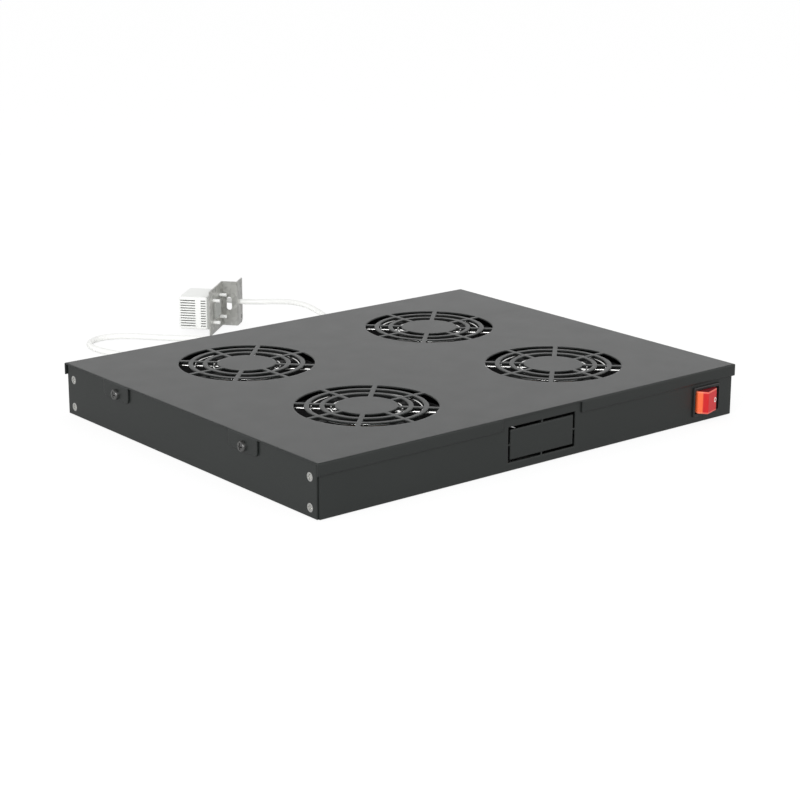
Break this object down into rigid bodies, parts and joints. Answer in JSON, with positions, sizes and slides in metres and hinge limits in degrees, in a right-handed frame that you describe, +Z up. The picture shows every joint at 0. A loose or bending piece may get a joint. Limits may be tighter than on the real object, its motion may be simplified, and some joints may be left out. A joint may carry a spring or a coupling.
{
  "type": "rack fan tray",
  "caption": "Low black sheet-metal rack cooling tray with slotted round vents over axial fans, a lit rocker switch in front and a thermostat box on a lead behind.",
  "frame": {"origin": "centre of the tray underside, which is the face it stands on", "axes": "+X to the right along the front wall that holds the rocker switch, +Y from that wall to the rear wall, +Z up through the vents"},
  "size_m": [0.4476, 0.5597, 0.0444],
  "materials": {
    "black_coat": "semi-gloss powder coat on folded sheet steel",
    "zinc": "bright zinc plate",
    "black_screw": "blackened steel",
    "fan_casting": "black painted die casting",
    "winding": "enamelled copper wire on laminations",
    "fan_plastic": "black glass-filled nylon",
    "guard_wire": "plated steel wire",
    "black_gloss": "moulded black nylon",
    "red_lens": "translucent red lens",
    "brass_contact": "tinned brass",
    "lamp_glass": "clear glass",
    "black_nylon": "moulded nylon",
    "white_plastic": "moulded plastic, fine matt",
    "grey_plastic": "moulded plastic",
    "galvanised": "galvanised sheet",
    "white_vinyl": "smooth vinyl"
  },
  "bodies": {
    "tray": {"base_pan": "black_coat", "earth_stud": "zinc", "fan_1_frame": "fan_casting", "fan_1_guard": "guard_wire", "fan_1_stator": "winding", "fan_2_frame": "fan_casting", "fan_2_guard": "guard_wire", "fan_2_stator": "winding", "fan_3_frame": "fan_casting", "fan_3_guard": "guard_wire", "fan_3_stator": "winding", "fan_4_frame": "fan_casting", "fan_4_guard": "guard_wire", "fan_4_stator": "winding", "fan_mount_screws": "zinc", "guard_screws": "zinc", "lid": "black_coat", "lid_screws": "black_screw", "mains_bushing": "black_nylon", "mains_lead": "white_vinyl", "mains_lead_coil": "white_vinyl", "mains_lead_tail": "white_vinyl", "mains_plug": "white_vinyl", "mains_plug_pins": "brass_contact", "sensor_bushing": "black_nylon", "sensor_lead": "white_vinyl", "side_plate_left": "black_coat", "side_plate_right": "black_coat", "side_screws": "zinc", "switch_housing": "black_gloss", "switch_lamp": "lamp_glass", "switch_terminals": "brass_contact", "terminal_block": "white_plastic", "terminal_screws": "brass_contact", "thermostat_base": "grey_plastic", "thermostat_bracket": "galvanised", "thermostat_case": "white_plastic", "thermostat_pegs": "white_plastic", "thermostat_switch": "grey_plastic"},
    "rotor_1": {"fan_1_rotor": "fan_plastic"},
    "rotor_2": {"fan_2_rotor": "fan_plastic"},
    "rotor_3": {"fan_3_rotor": "fan_plastic"},
    "rotor_4": {"fan_4_rotor": "fan_plastic"},
    "rocker": {"switch_rocker": "red_lens"},
    "dial": {"thermostat_dial": "white_plastic"}
  },
  "joints": [
    {"name": "fan_1_spin", "type": "hinge", "parent": "tray", "child": "rotor_1", "pos_m": [-0.1005, -0.082, 0.02], "axis": [0, 0, 1], "continuous": true},
    {"name": "fan_2_spin", "type": "hinge", "parent": "tray", "child": "rotor_2", "pos_m": [0.1005, -0.082, 0.02], "axis": [0, 0, 1], "continuous": true},
    {"name": "fan_3_spin", "type": "hinge", "parent": "tray", "child": "rotor_3", "pos_m": [-0.1005, 0.082, 0.02], "axis": [0, 0, 1], "continuous": true},
    {"name": "fan_4_spin", "type": "hinge", "parent": "tray", "child": "rotor_4", "pos_m": [0.1005, 0.082, 0.02], "axis": [0, 0, 1], "continuous": true},
    {"name": "rocker_tilt", "type": "hinge", "parent": "tray", "child": "rocker", "pos_m": [0.187, -0.1754, 0.0185], "axis": [0, 0, 1], "range_deg": [-20, 0]},
    {"name": "dial_turn", "type": "hinge", "parent": "tray", "child": "dial", "pos_m": [0.01594, 0.35538, 0.0222], "axis": [-0.6561, 0.7547, 0], "range_deg": [-135, 135]}
  ]
}
